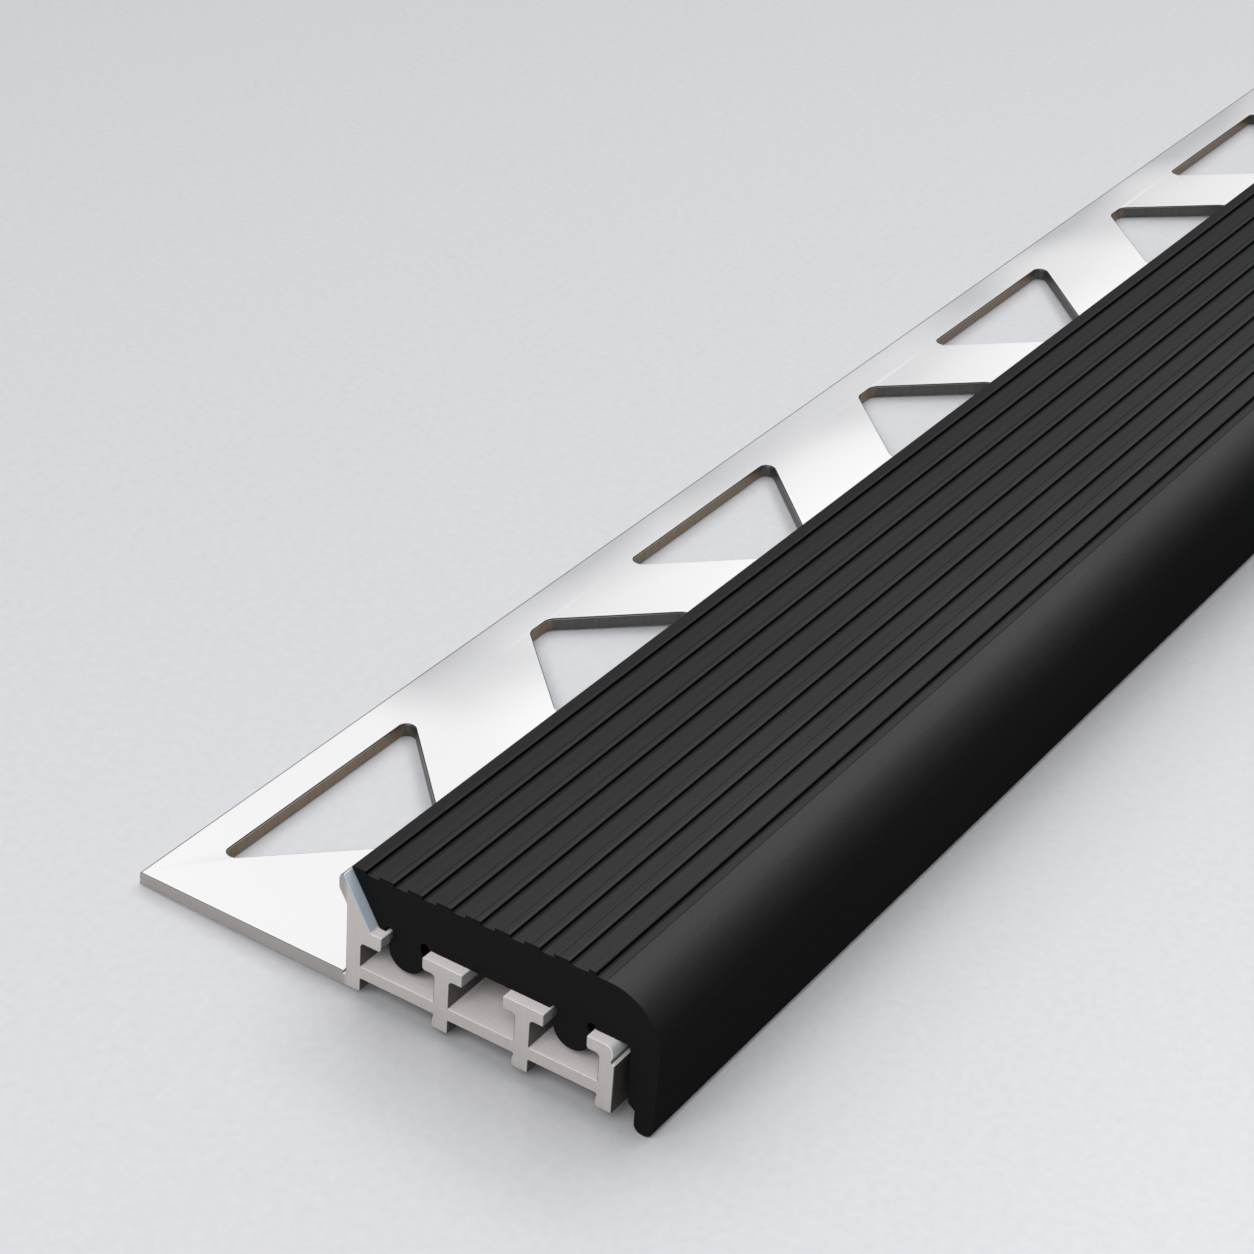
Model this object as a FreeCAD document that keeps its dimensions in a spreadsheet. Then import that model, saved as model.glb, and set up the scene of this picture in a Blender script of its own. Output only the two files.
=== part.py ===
import FreeCAD, Part
import math
import os
import Sketcher
from FreeCAD import Placement, Rotation, Vector

# Stair nosing in stock length: an extruded aluminium carrier with a perforated anchoring
# leg, and a ribbed rubber tread pressed into it that wraps the front of the step.
#
# Both pieces are drawn as one section and run along X. In the section, depth is measured
# from the tile side of the lip towards the nose, and height from the bedding that the
# feet stand on. Depth runs along -Y and height along +Z. The stored origin is the middle
# of the footprint, at the height of the nose's lowest point.

DRIVING_SIZES = {
    "stock_length": 1000.0,
    "leg_width": 19.9,
    "leg_thickness": 1.2,
    "corner_relief": 0.25,
    "web_thickness": 1.35,
    "lip_height": 9.95,
    "lip_flare": 0.77,
    "lip_flare_top": 1.3,
    "lip_flare_bottom": 2.6,
    "lip_flare_round": 0.8,
    "lip_top_round": 0.6,
    "lip_top_fall": 0.2,
    "lip_edge_overhang": 0.35,
    "lip_slope_run": 2.55,
    "seat_height": 5.86,
    "shelf_step": 0.14,
    "tongue_length": 0.98,
    "tongue_thickness": 1.3,
    "plate_underside": 1.2,
    "plate_thickness": 1.1,
    "inside_round": 0.3,
    "channel_opening": 3.67,
    "tee_pitch": 7.1,
    "head_width": 3.55,
    "head_thickness": 1.1,
    "head_round": 0.3,
    "hook_reach": 1.1,
    "shoulder_round": 0.65,
    "shoulder_setback": 0.18,
    "groove_setback": 0.26,
    "groove_height": 0.4,
    "ledge_drop": 1.5,
    "foot_flare": 0.13,
    "foot_round": 0.2,
    "hole_edge_distance": 3.4,
    "hole_long_side": 25.4,
    "hole_short_side": 2.7,
    "hole_side_angle": 45.0,
    "hole_outer_round": 0.75,
    "hole_inner_round": 1.8,
    "hole_first_centre": 17.5,
    "hole_pair_offset": 31.0,
    "hole_pair_pitch": 57.0,
    "hole_end_margin": 4.0,
    "insert_setback": 0.92,
    "seat_gap": 0.1,
    "tread_back_rise": 0.25,
    "tread_front_rise": 0.85,
    "tread_edge_round": 0.11,
    "first_rib_width": 1.32,
    "rib_groove_width": 1.18,
    "rib_height": 0.28,
    "last_groove_width": 1.56,
    "last_rib_width": 0.66,
    "land_drop": 0.33,
    "land_width": 1.18,
    "nose_gap": 0.62,
    "nose_wall": 2.48,
    "nose_round": 4.5,
    "nose_lean": 0.15,
    "nose_drop": 1.48,
    "flap_thickness": 1.6,
    "flap_round": 0.75,
    "flap_step_height": 0.8,
    "flap_step_slope": 0.45,
    "underside_round": 0.5,
    "key_radius": 1.6,
    "key_drop": 1.35,
    "second_key_rise": 0.2,
    "key_neck": 2.6,
    "key_gap": 0.02,
    "relief_radius": 0.36,
    "relief_overlap": 0.05,
}

# Ribs on the tread, counting the one beside the lip and the narrow one at the nose.
RIB_COUNT = 9

doc = FreeCAD.newDocument("stair_nosing")
sizes = doc.addObject("Spreadsheet::Sheet", "sizes")


def fill_sheet():
    """One row for each driving size: its name, and its value under an alias."""
    for row, (name, size) in enumerate(DRIVING_SIZES.items(), start=1):
        sizes.set(f"A{row}", name)
        sizes.set(f"B{row}", str(size))
        sizes.setAlias(f"B{row}", name)
    doc.recompute()


fill_sheet()

# Places that several outlines share, as expressions on the driving sizes.
LIP_INNER_FACE = "sizes.web_thickness"
LIP_EDGE = "-sizes.lip_edge_overhang"
SHELF_START = "(sizes.lip_slope_run - sizes.lip_edge_overhang)"
SHELF_HEIGHT = "(sizes.seat_height - sizes.shelf_step)"
TONGUE_TIP = f"({SHELF_START} + sizes.tongue_length)"
PLATE_TOP = "(sizes.plate_underside + sizes.plate_thickness)"
HEAD_UNDERSIDE = "(sizes.seat_height - sizes.head_thickness)"
BACK_TEE = f"({TONGUE_TIP} + sizes.channel_opening + sizes.head_width / 2)"
FRONT_TEE = f"({BACK_TEE} + sizes.tee_pitch)"
HOOK_TIP = f"({FRONT_TEE} + sizes.head_width / 2 + sizes.channel_opening)"
FRONT_WEB_BACK = f"({HOOK_TIP} + sizes.hook_reach)"
FRONT_FACE = f"({FRONT_WEB_BACK} + sizes.web_thickness)"
LIP_SLOPE = f"(sizes.lip_slope_run / (sizes.lip_height - {SHELF_HEIGHT}))"
NOSE_BACK = f"({FRONT_FACE} + sizes.nose_gap)"
NOSE_FRONT = f"({NOSE_BACK} + sizes.nose_wall)"
FLAP_FRONT = f"({NOSE_FRONT} - sizes.nose_lean)"
FLAP_BACK = f"({FLAP_FRONT} - sizes.flap_thickness)"
TREAD_END = f"({NOSE_FRONT} - sizes.nose_round - sizes.land_width)"
TREAD_SLOPE = (
    "((sizes.tread_front_rise - sizes.tread_back_rise)"
    f" / ({TREAD_END} + sizes.lip_edge_overhang))"
)
FIRST_GROOVE = f"({LIP_EDGE} + sizes.first_rib_width)"
LAST_GROOVE = f"({TREAD_END} - sizes.last_rib_width - sizes.last_groove_width)"
RIB_PITCH = f"(({LAST_GROOVE} - {FIRST_GROOVE}) / {RIB_COUNT - 2})"
FIRST_KEY = f"({TONGUE_TIP} + sizes.key_gap + sizes.key_radius)"
SECOND_KEY = f"({HOOK_TIP} - sizes.channel_opening / 2)"
KEY_HEIGHT = "(sizes.seat_height - sizes.key_drop)"
SECOND_KEY_HEIGHT = f"({KEY_HEIGHT} + sizes.second_key_rise)"
KEY_LID = "(sizes.seat_height + sizes.relief_radius / 2)"
HOLE_OUTER_EDGE = "(sizes.leg_width - sizes.hole_edge_distance)"
HOLE_REACH = (
    "((sizes.hole_long_side - sizes.hole_short_side) / 2"
    " * tan(sizes.hole_side_angle * 1 deg))"
)


def value(text):
    """The number that an expression on the sheet gives."""
    result = sizes.evalExpression(text)
    return float(getattr(result, "Value", result))


def plane(body, role):
    """One of the body's own origin planes or axes, by its role."""
    return next(item for item in body.Origin.OriginFeatures if item.Role == role)


def new_sketch(body, name, role):
    sketch = body.newObject("Sketcher::SketchObject", name)
    sketch.AttachmentSupport = (plane(body, role), "")
    sketch.MapMode = "FlatFace"
    return sketch


def bind(sketch, kind, where, expression):
    """Add a constraint of this kind at this place, and tie it to an expression."""
    index = sketch.addConstraint(Sketcher.Constraint(kind, *where, value(expression)))
    sketch.setExpression(f"Constraints[{index}]", expression)


def pin(sketch, item, end, across, up):
    """Hold one point by two expressions, measured from the sketch's origin."""
    bind(sketch, "DistanceX", (-1, 1, item, end), across)
    bind(sketch, "DistanceY", (-1, 1, item, end), up)


def outline(sketch, corners):
    """Closed outline of straight sides through corners, some of them rounded.

    Each corner is its place across the sketch, its height up it, and its rounding or
    None. A rounded corner is an arc tangent to both sides, held by the corner point.
    """
    points = [Vector(value(across), value(up), 0) for across, up, _ in corners]
    rounds = [value(rounding) if rounding else 0.0 for _, _, rounding in corners]
    count = len(corners)
    leaving = []
    arriving = []
    for i, point in enumerate(points):
        back = (points[i - 1] - point).normalize()
        ahead = (points[(i + 1) % count] - point).normalize()
        cut = rounds[i] / math.tan(back.getAngle(ahead) / 2)
        arriving.append(point + back * cut)
        leaving.append(point + ahead * cut)
    sides = []
    for i in range(count):
        side = Part.LineSegment(leaving[i], arriving[(i + 1) % count])
        sides.append(sketch.addGeometry(side, False))
    for i, (across, up, rounding) in enumerate(corners):
        before, after = sides[i - 1], sides[i]
        if rounding is None:
            sketch.addConstraint(Sketcher.Constraint("Coincident", before, 2, after, 1))
            pin(sketch, after, 1, across, up)
            continue
        back = (points[i - 1] - points[i]).normalize()
        ahead = (points[(i + 1) % count] - points[i]).normalize()
        half_turn = back.getAngle(ahead) / 2
        centre = points[i] + (back + ahead).normalize() * (rounds[i] / math.sin(half_turn))
        middle = centre + (points[i] - centre).normalize() * rounds[i]
        arc = sketch.addGeometry(Part.Arc(arriving[i], middle, leaving[i]), False)
        left_turn = back.cross(ahead).z < 0
        first, last = (1, 2) if left_turn else (2, 1)
        corner = sketch.addGeometry(Part.Point(points[i]), True)
        sketch.addConstraint(Sketcher.Constraint("Tangent", before, 2, arc, first))
        sketch.addConstraint(Sketcher.Constraint("Tangent", arc, last, after, 1))
        bind(sketch, "Radius", (arc,), rounding)
        sketch.addConstraint(Sketcher.Constraint("PointOnObject", corner, 1, before))
        sketch.addConstraint(Sketcher.Constraint("PointOnObject", corner, 1, after))
        pin(sketch, corner, 1, across, up)


def circle(sketch, across, up, radius):
    """A full circle held by its centre and its radius."""
    middle = Vector(value(across), value(up), 0)
    item = sketch.addGeometry(Part.Circle(middle, Vector(0, 0, 1), value(radius)), False)
    pin(sketch, item, 3, across, up)
    bind(sketch, "Radius", (item,), radius)


def section(corners):
    """Turn corners given by depth and height into places across and up the sketch."""
    return [(f"-({depth})", height, rounding) for depth, height, rounding in corners]


def run_along(body, sketch, name, start, length):
    """Extrude a section along X, from a start and over a length."""
    sketch.setExpression("AttachmentOffset.Base.z", start)
    pad = body.newObject("PartDesign::Pad", name)
    pad.Profile = sketch
    pad.setExpression("Length", length)
    sketch.Visibility = False
    return pad


def solid_volume(body):
    doc.recompute()
    return body.Shape.Volume


def carrier_run(body, name, corners):
    """One wall of the carrier's section, extruded over the whole stock length."""
    sketch = new_sketch(body, name + "_section", "YZ_Plane")
    outline(sketch, section(corners))
    return run_along(body, sketch, name, "0", "sizes.stock_length")


def leg_corners():
    """The flat anchoring leg, with a small relief where it meets the lip's web."""
    floor = "(sizes.leg_thickness - sizes.corner_relief)"
    return [
        ("-sizes.leg_width", "0", None),
        ("sizes.web_thickness / 2", "0", None),
        ("sizes.web_thickness / 2", floor, None),
        ("-sizes.corner_relief", floor, None),
        ("-sizes.corner_relief", "sizes.leg_thickness", None),
        ("-sizes.leg_width", "sizes.leg_thickness", None),
    ]


def lip_corners():
    """The upright lip: its web, the flared head that meets the tile, and the tongue."""
    underside = f"({SHELF_HEIGHT} - sizes.tongue_thickness)"
    flare_top = "(sizes.lip_height - sizes.lip_flare_top)"
    return [
        ("0", "0", None),
        (LIP_INNER_FACE, "0", "sizes.foot_round"),
        (LIP_INNER_FACE, underside, "sizes.inside_round"),
        (TONGUE_TIP, underside, "sizes.head_round"),
        (TONGUE_TIP, SHELF_HEIGHT, None),
        (SHELF_START, SHELF_HEIGHT, "sizes.inside_round"),
        (LIP_EDGE, "sizes.lip_height", None),
        ("-sizes.lip_flare", "sizes.lip_height - sizes.lip_top_fall", "sizes.lip_top_round"),
        ("-sizes.lip_flare", flare_top, "sizes.lip_flare_round"),
        ("0", "sizes.lip_height - sizes.lip_flare_bottom", None),
    ]


def plate_corners():
    """The base plate that ties the webs together above the mortar bed."""
    return [
        ("0", "sizes.plate_underside", None),
        (FRONT_WEB_BACK, "sizes.plate_underside", None),
        (FRONT_WEB_BACK, PLATE_TOP, None),
        ("0", PLATE_TOP, None),
    ]


def foot_corners(back):
    """The back of a foot: a neck under the base plate that flares to the ground."""
    flared = f"({back} - sizes.foot_flare)"
    return [
        (back, "sizes.plate_underside", None),
        (flared, "sizes.plate_underside / 2", None),
        (flared, "0", "sizes.foot_round"),
    ]


def tee_corners(centre):
    """A web under a flat head, with its foot below the base plate."""
    back = f"({centre} - sizes.web_thickness / 2)"
    front = f"({centre} + sizes.web_thickness / 2)"
    head_back = f"({centre} - sizes.head_width / 2)"
    head_front = f"({centre} + sizes.head_width / 2)"
    return [
        (front, "0", None),
        (front, HEAD_UNDERSIDE, "sizes.inside_round"),
        (head_front, HEAD_UNDERSIDE, None),
        (head_front, "sizes.seat_height", None),
        (head_back, "sizes.seat_height", "sizes.head_round / 2"),
        (head_back, HEAD_UNDERSIDE, "sizes.head_round"),
        (back, HEAD_UNDERSIDE, "sizes.inside_round"),
    ] + foot_corners(back)


def front_corners():
    """The front web: a hooked head, a rounded shoulder with a groove, and a ledge."""
    shoulder = f"({FRONT_FACE} - sizes.shoulder_setback)"
    groove = f"({FRONT_FACE} - sizes.groove_setback)"
    ledge = "(sizes.seat_height - sizes.ledge_drop)"
    return [
        (FRONT_FACE, "0", None),
        (FRONT_FACE, ledge, None),
        (groove, ledge, None),
        (groove, f"{ledge} + sizes.groove_height", None),
        (shoulder, "sizes.seat_height", "sizes.shoulder_round"),
        (HOOK_TIP, "sizes.seat_height", None),
        (HOOK_TIP, HEAD_UNDERSIDE, "sizes.head_round"),
        (FRONT_WEB_BACK, HEAD_UNDERSIDE, "sizes.inside_round"),
    ] + foot_corners(FRONT_WEB_BACK)


def hole_corners(centre, outer_side, inner_side):
    """A keying hole in the leg: one side by the leg's edge, the other by the lip."""
    inner_edge = f"({HOLE_OUTER_EDGE} - {HOLE_REACH})"
    return [
        (f"{centre} - {inner_side} / 2", inner_edge, "sizes.hole_inner_round"),
        (f"{centre} + {inner_side} / 2", inner_edge, "sizes.hole_inner_round"),
        (f"{centre} + {outer_side} / 2", HOLE_OUTER_EDGE, "sizes.hole_outer_round"),
        (f"{centre} - {outer_side} / 2", HOLE_OUTER_EDGE, "sizes.hole_outer_round"),
    ]


def punch_holes(body):
    """A pair of holes, one pointing each way, punched and repeated along the leg."""
    before = solid_volume(body)
    sketch = new_sketch(body, "hole_pair", "XY_Plane")
    long_side, short_side = "sizes.hole_long_side", "sizes.hole_short_side"
    outline(sketch, hole_corners("sizes.hole_first_centre", long_side, short_side))
    pair = "(sizes.hole_first_centre + sizes.hole_pair_offset)"
    outline(sketch, hole_corners(pair, short_side, long_side))
    punch = body.newObject("PartDesign::Pocket", "hole_punch")
    punch.Profile = sketch
    punch.Midplane = True
    punch.setExpression("Length", "4 * sizes.leg_thickness")
    one_pair = before - solid_volume(body)
    row = body.newObject("PartDesign::LinearPattern", "hole_row")
    row.Originals = [punch]
    row.Direction = (plane(body, "X_Axis"), [""])
    room = (
        "(sizes.stock_length - sizes.hole_first_centre - sizes.hole_pair_offset"
        " - sizes.hole_long_side / 2 - sizes.hole_end_margin)"
    )
    row.setExpression("Occurrences", f"floor({room} / sizes.hole_pair_pitch) + 1")
    row.setExpression("Length", f"sizes.hole_pair_pitch * floor({room} / sizes.hole_pair_pitch)")
    body.Tip = row
    removed = before - solid_volume(body)
    if one_pair <= 0 or removed < 1.5 * one_pair:
        raise RuntimeError("the hole row cuts too little from the leg")


def make_carrier():
    body = doc.addObject("PartDesign::Body", "carrier_profile")
    body.Label = "carrier_profile"
    carrier_run(body, "leg", leg_corners())
    carrier_run(body, "lip", lip_corners())
    carrier_run(body, "base_plate", plate_corners())
    carrier_run(body, "back_tee", tee_corners(BACK_TEE))
    carrier_run(body, "front_tee", tee_corners(FRONT_TEE))
    carrier_run(body, "front_web", front_corners())
    punch_holes(body)
    return body


def tread_height(depth, drop="0"):
    """Height of the rib tops at a depth, less a drop."""
    back = "sizes.lip_height + sizes.tread_back_rise"
    return f"({back} + ({depth} + sizes.lip_edge_overhang) * {TREAD_SLOPE} - {drop})"


def tread_corners():
    """The rubber's main section: tread, nose, flap in front of the carrier, underside."""
    back_edge = f"({LIP_EDGE} + sizes.seat_gap - sizes.tread_back_rise * {LIP_SLOPE})"
    return [
        (f"{SHELF_START} + sizes.seat_gap", SHELF_HEIGHT, "sizes.inside_round + sizes.seat_gap"),
        (back_edge, tread_height(back_edge), "sizes.tread_edge_round"),
        (TREAD_END, tread_height(TREAD_END), None),
        (TREAD_END, tread_height(TREAD_END, "sizes.land_drop"), None),
        (NOSE_FRONT, tread_height(NOSE_FRONT, "sizes.land_drop"), "sizes.nose_round"),
        (FLAP_FRONT, "-sizes.nose_drop", "sizes.flap_round"),
        (FLAP_BACK, "-sizes.nose_drop", "sizes.flap_round"),
        (FLAP_BACK, "sizes.flap_step_height - sizes.flap_step_slope", None),
        (f"{NOSE_BACK} + sizes.nose_lean", "sizes.flap_step_height", None),
        (NOSE_BACK, "sizes.seat_height", "sizes.underside_round"),
        (FIRST_KEY, "sizes.seat_height", None),
        (FIRST_KEY, SHELF_HEIGHT, None),
    ]


def key_outline(sketch, centre, height):
    """A round key on a neck: straight sides down to a bulb that is wider than the neck."""
    neck = value("sizes.key_neck") / 2
    radius = value("sizes.key_radius")
    middle = Vector(-value(centre), value(height), 0)
    top = value(KEY_LID)
    shoulder = math.sqrt(radius**2 - neck**2)
    left, right = Vector(-neck, shoulder, 0), Vector(neck, shoulder, 0)
    bulb = Part.Arc(middle + left, middle - Vector(0, radius, 0), middle + right)
    arc = sketch.addGeometry(bulb, False)
    upper_right = Vector(middle.x + neck, top, 0)
    upper_left = Vector(middle.x - neck, top, 0)
    right_side = sketch.addGeometry(Part.LineSegment(middle + right, upper_right), False)
    lid = sketch.addGeometry(Part.LineSegment(upper_right, upper_left), False)
    left_side = sketch.addGeometry(Part.LineSegment(upper_left, middle + left), False)
    joins = [(arc, 2, right_side, 1), (right_side, 2, lid, 1), (lid, 2, left_side, 1)]
    for join in joins + [(left_side, 2, arc, 1)]:
        sketch.addConstraint(Sketcher.Constraint("Coincident", *join))
    sketch.addConstraint(Sketcher.Constraint("Vertical", right_side))
    sketch.addConstraint(Sketcher.Constraint("Vertical", left_side))
    pin(sketch, arc, 3, f"-{centre}", height)
    bind(sketch, "Radius", (arc,), "sizes.key_radius")
    pin(sketch, lid, 1, f"-{centre} + sizes.key_neck / 2", KEY_LID)
    pin(sketch, lid, 2, f"-{centre} - sizes.key_neck / 2", KEY_LID)


def insert_cut(body, name, draw):
    """Cut along the whole insert what draw puts in a sketch, and check that it cuts."""
    before = solid_volume(body)
    sketch = new_sketch(body, name + "_section", "YZ_Plane")
    draw(sketch)
    cut = body.newObject("PartDesign::Pocket", name)
    cut.Profile = sketch
    cut.Midplane = True
    cut.setExpression("Length", "2 * sizes.stock_length")
    if solid_volume(body) >= before:
        raise RuntimeError(f"{name} cuts nothing")


def draw_reliefs(sketch):
    """A round hollow each side of both necks, where the carrier's heads reach in."""
    offset = "(sizes.key_neck / 2 + sizes.relief_radius - sizes.relief_overlap)"
    for key in (FIRST_KEY, SECOND_KEY):
        for side in ("-", "+"):
            circle(sketch, f"-{key} {side} {offset}", "sizes.seat_height", "sizes.relief_radius")


def draw_grooves(sketch):
    """The grooves between the ribs, cut square to a floor that follows the tread."""
    for number in range(RIB_COUNT - 1):
        back = f"({FIRST_GROOVE} + {number} * {RIB_PITCH})"
        front = f"({back} + sizes.rib_groove_width)"
        if number == RIB_COUNT - 2:
            front = f"({TREAD_END} - sizes.last_rib_width)"
        outline(sketch, section([
            (back, tread_height(back, "sizes.rib_height"), None),
            (back, tread_height(back, "-sizes.rib_height"), None),
            (front, tread_height(front, "-sizes.rib_height"), None),
            (front, tread_height(front, "sizes.rib_height"), None),
        ]))


def make_insert():
    body = doc.addObject("PartDesign::Body", "tread_insert")
    body.Label = "tread_insert"
    length = "sizes.stock_length - 2 * sizes.insert_setback"
    tread = new_sketch(body, "tread_section", "YZ_Plane")
    outline(tread, section(tread_corners()))
    run_along(body, tread, "tread", "sizes.insert_setback", length)
    keys = new_sketch(body, "key_section", "YZ_Plane")
    key_outline(keys, FIRST_KEY, KEY_HEIGHT)
    key_outline(keys, SECOND_KEY, SECOND_KEY_HEIGHT)
    run_along(body, keys, "keys", "sizes.insert_setback", length)
    insert_cut(body, "reliefs", draw_reliefs)
    insert_cut(body, "rib_grooves", draw_grooves)
    return body


def place(body):
    """Move the section's frame to the stored origin, middle of the footprint."""
    body.Placement = Placement(Vector(0, 0, 0), Rotation())
    body.setExpression("Placement.Base.x", "-sizes.stock_length / 2")
    body.setExpression("Placement.Base.y", f"({NOSE_FRONT} - sizes.leg_width) / 2")
    body.setExpression("Placement.Base.z", "sizes.nose_drop")


def check_document(pieces):
    doc.recompute()
    failed = [item.Name for item in doc.Objects if {"Invalid", "Error"} & set(item.State)]
    if failed:
        raise RuntimeError("failed objects: " + ", ".join(failed))
    for piece in pieces:
        shape = piece.Shape
        if shape.isNull() or not shape.isValid() or len(shape.Solids) != 1:
            raise RuntimeError(f"{piece.Label} is not one valid solid")


pieces = [make_carrier(), make_insert()]
for piece in pieces:
    place(piece)
check_document(pieces)

os.makedirs("parts", exist_ok=True)
for piece in pieces:
    piece.Shape.exportStep(f"parts/{piece.Label}.step")
    box = piece.Shape.BoundBox
    print(
        f"{piece.Label}: {piece.Shape.Volume / 1000:.1f} cm3, "
        f"X {box.XMin:.2f} to {box.XMax:.2f}, "
        f"Y {box.YMin:.2f} to {box.YMax:.2f}, Z {box.ZMin:.2f} to {box.ZMax:.2f}"
    )
print(f"holes in the leg: {2 * doc.hole_row.Occurrences}")
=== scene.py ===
# %% [markdown]
# # A length of stair nosing
#
# A stair nosing caps the front edge of a tiled step. This one is stock as it is sold: an
# extruded aluminium carrier, whose flat leg is bedded in the tile adhesive, and a black
# rubber tread that is pressed into the carrier and wraps the front of the step.
#
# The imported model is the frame. It gives the place and size of both pieces, in metres.
# Its rounds are cut into coarse facets, and this close to the cut end that would show. So
# both pieces are made again here from the same section, with fine rounds and broken edges.

# %% Load the frame
import math

import bmesh
import bpy
import numpy as np
from mathutils import Matrix, Vector
from mathutils.geometry import delaunay_2d_cdt


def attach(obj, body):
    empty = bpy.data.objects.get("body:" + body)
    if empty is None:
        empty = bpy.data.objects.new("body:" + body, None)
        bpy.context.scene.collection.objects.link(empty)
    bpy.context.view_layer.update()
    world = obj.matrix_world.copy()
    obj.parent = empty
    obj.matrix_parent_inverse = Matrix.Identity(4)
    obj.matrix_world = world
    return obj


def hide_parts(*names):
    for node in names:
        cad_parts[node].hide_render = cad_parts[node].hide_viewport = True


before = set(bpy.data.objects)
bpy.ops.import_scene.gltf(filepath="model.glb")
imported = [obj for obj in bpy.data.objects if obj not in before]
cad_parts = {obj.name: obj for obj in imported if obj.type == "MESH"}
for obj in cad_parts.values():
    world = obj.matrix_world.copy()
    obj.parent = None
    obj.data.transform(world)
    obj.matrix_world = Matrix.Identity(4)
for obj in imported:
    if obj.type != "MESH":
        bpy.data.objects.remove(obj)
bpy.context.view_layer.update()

print("nodes:", sorted(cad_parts))

# %% [markdown]
# ## The camera
#
# The camera comes first, so that every later step can be looked at from the right place.
# It was fitted to the straight lines of the section and of the leg: a fairly long lens,
# a quarter of a metre from the cut end, looking down on it from the nose side. The
# camera's roll is small but it shows, because the long edges run right across the picture.

# %% Place the camera
CAMERA_PLACE = (-0.64694, -0.10817, 0.14828)
CAMERA_AZIMUTH, CAMERA_ELEVATION, CAMERA_ROLL = np.radians([31.369, 31.853, -4.209])


def camera_axes(azimuth, elevation, roll):
    """Right, up and backward: the sight line from two angles, then a turn about it."""
    sight = Vector((
        math.cos(azimuth) * math.cos(elevation),
        math.sin(azimuth) * math.cos(elevation),
        -math.sin(elevation),
    ))
    level = sight.cross(Vector((0, 0, 1))).normalized()
    down = sight.cross(level)
    right = math.cos(roll) * level + math.sin(roll) * down
    return right, right.cross(sight), -sight


camera_data = bpy.data.cameras.new("camera")
camera_data.lens, camera_data.sensor_width = 90.83, 36.0
camera_data.clip_start, camera_data.clip_end = 0.005, 20.0
camera = bpy.data.objects.new("camera", camera_data)
axes = Matrix(camera_axes(CAMERA_AZIMUTH, CAMERA_ELEVATION, CAMERA_ROLL)).transposed()
camera.matrix_world = Matrix.Translation(CAMERA_PLACE) @ axes.to_4x4()
bpy.context.scene.collection.objects.link(camera)
bpy.context.scene.camera = camera
print("camera at", [round(v, 4) for v in camera.location])

# %% [markdown]
# ## Outlines
#
# An extrusion is one outline carried along a straight line, so the outline is where the
# work goes. It is written as corners, each with its depth, its height and its rounding in
# millimetres, which is how the drawing of such a section is dimensioned. Depth counts from
# the lip's face towards the nose, and height from the bottom of the feet. One function
# turns all the corners of an outline into arcs at once.

# %% Corners to a rounded outline
MM = 0.001
FINE_ROUND = 0.2
FEW_STEPS, MANY_STEPS = 4, 14


def rounded(corners, closed=True):
    """Outline through corners (depth, height, radius), each cut by a tangent arc.

    With u and v the directions from the arc's centre to its two ends, and w the angle
    between them, the arc's points are u sin((1-t)w) + v sin(tw), over sin w.
    """
    corners = np.array(corners, float)
    points, radius = corners[:, :2], corners[:, 2:3]
    back, ahead = np.roll(points, 1, 0) - points, np.roll(points, -1, 0) - points
    back /= np.linalg.norm(back, axis=1, keepdims=True)
    ahead /= np.linalg.norm(ahead, axis=1, keepdims=True)
    half = np.arccos(np.clip((back * ahead).sum(1, keepdims=True), -1, 1)) / 2
    middle = back + ahead
    middle /= np.linalg.norm(middle, axis=1, keepdims=True)
    centre = points + middle * radius / np.sin(half)
    first = points + back * radius / np.tan(half) - centre
    last = points + ahead * radius / np.tan(half) - centre
    turn = np.pi - 2 * half
    steps = np.where(radius[:, 0] > FINE_ROUND, MANY_STEPS, FEW_STEPS)
    corner = np.repeat(np.arange(len(points)), steps + 1)
    count = np.arange(len(corner)) - np.repeat(np.cumsum(steps + 1) - steps - 1, steps + 1)
    t = (count / steps[corner])[:, None]
    w = turn[corner]
    arc = first[corner] * np.sin((1 - t) * w) + last[corner] * np.sin(t * w)
    outline = centre[corner] + arc / np.sin(w)
    if closed:
        return outline
    return np.vstack([points[:1], outline[steps[0] + 1:-steps[-1] - 1], points[-1:]])


def arc(centre, radius, start, end, steps):
    """Points on a circle from one angle to another, in degrees."""
    angle = np.radians(np.linspace(start, end, steps))
    return np.array(centre) + radius * np.column_stack([np.cos(angle), np.sin(angle)])


square = rounded([(0, 0, 1), (9, 0, 1), (9, 9, 1), (0, 9, 1)])
print("a square with round corners has", len(square), "points")

# %% [markdown]
# ## The carrier's section
#
# The carrier is drawn in one go round its outline: under the leg and the four feet, up the
# front web to its hook, back over the two tee heads and through the channels between them,
# then up the lip, round its flared head and out along the leg. Sharp corners of a drawn
# section are never quite sharp, so each gets a small break, which also catches the light.

# %% Draw the carrier's outline
BREAK = 0.08
INSIDE = 0.1
FOOT_ROUND, FOOT_FLARE, FOOT_NECK = 0.2, 0.13, 0.6
HEAD_ROUND, HEEL_ROUND = 0.3, 0.15
WEB = 1.35
LEG_WIDTH, LEG_THICKNESS, LEG_RELIEF, LEG_ROUND = 19.9, 1.2, 0.25, 0.3
PLATE_UNDER, PLATE_TOP = 1.2, 2.3
SEAT, HEAD_UNDER = 5.86, 4.76
BACK_TEE, FRONT_TEE, HEAD_HALF = 8.625, 15.725, 1.775
HOOK_TIP, FRONT_WEB, FRONT_FACE = 21.17, 22.27, 23.62
LEDGE, LEDGE_BACK, SHOULDER, SHOULDER_ROUND = 4.36, 23.36, 23.44, 0.65
TONGUE_TIP, TONGUE_UNDER, SHELF, SHELF_START = 3.18, 4.42, 5.72, 2.2
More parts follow.
